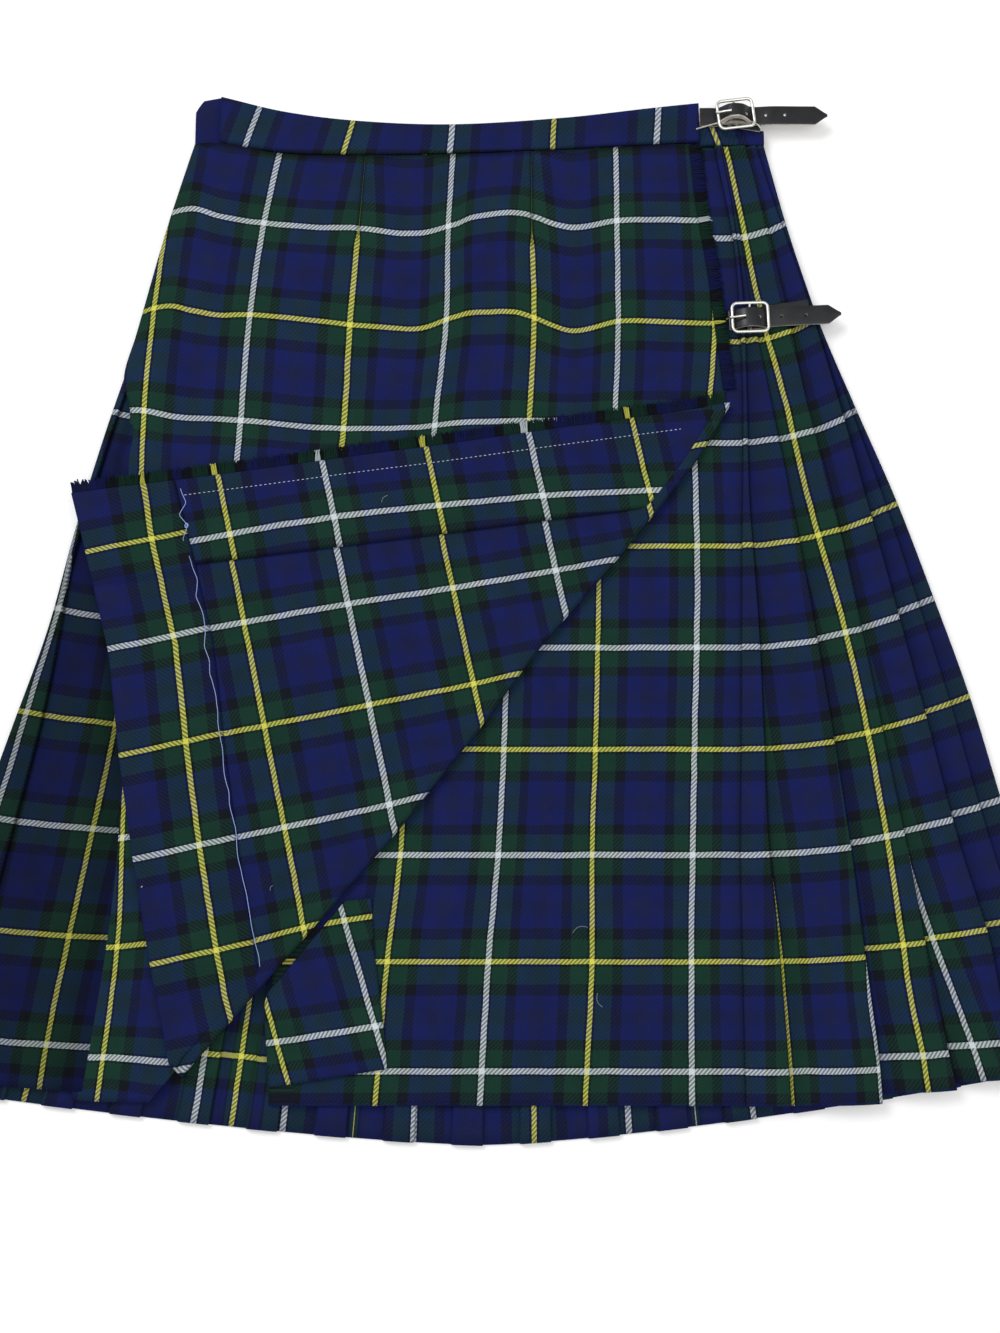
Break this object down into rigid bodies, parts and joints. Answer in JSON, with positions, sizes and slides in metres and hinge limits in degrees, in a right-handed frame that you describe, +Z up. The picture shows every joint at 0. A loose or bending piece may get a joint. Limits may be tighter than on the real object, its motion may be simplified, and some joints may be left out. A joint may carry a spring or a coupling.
{
  "type": "scottish kilt",
  "caption": "Pleated tartan wool kilt laid flat, with the lower corner of its fringed over apron folded back, and leather straps with buckles at one hip.",
  "frame": {"origin": "the spot on the flat underside below the middle of the laid kilt, on the visible side of a back pleat", "axes": "+X to the right of the laid kilt, towards the fringed edge and the buckles; +Y up to the waistband; +Z up from the surface"},
  "size_m": [0.735, 0.6803, 0.0183],
  "materials": {
    "tartan_wool": "2/2 twill worsted wool in a blue, green and black check with white and yellow lines",
    "loose_wool": "loose wool strands",
    "black_leather": "smooth black strap leather, semi gloss",
    "leather_underside": "pale suede side of the strap leather",
    "nickel": "polished nickel plate"
  },
  "bodies": {
    "root": {"pleated_back": "tartan_wool", "right_side_pleats": "tartan_wool", "left_side_pleats": "tartan_wool", "under_apron": "tartan_wool", "over_apron": "tartan_wool", "turned_corner": "tartan_wool", "edge_facing": "tartan_wool", "hem_turnup": "tartan_wool", "inner_fold": "tartan_wool", "front_waistband": "tartan_wool", "inner_waistband": "tartan_wool", "back_waistband": "tartan_wool", "apron_fringe": "loose_wool", "corner_fringe": "loose_wool", "upper_strap": "black_leather", "lower_strap": "black_leather", "upper_chape": "leather_underside", "lower_chape": "leather_underside", "upper_buckle": "nickel", "lower_buckle": "nickel", "upper_prong": "nickel", "lower_prong": "nickel"}
  },
  "joints": []
}
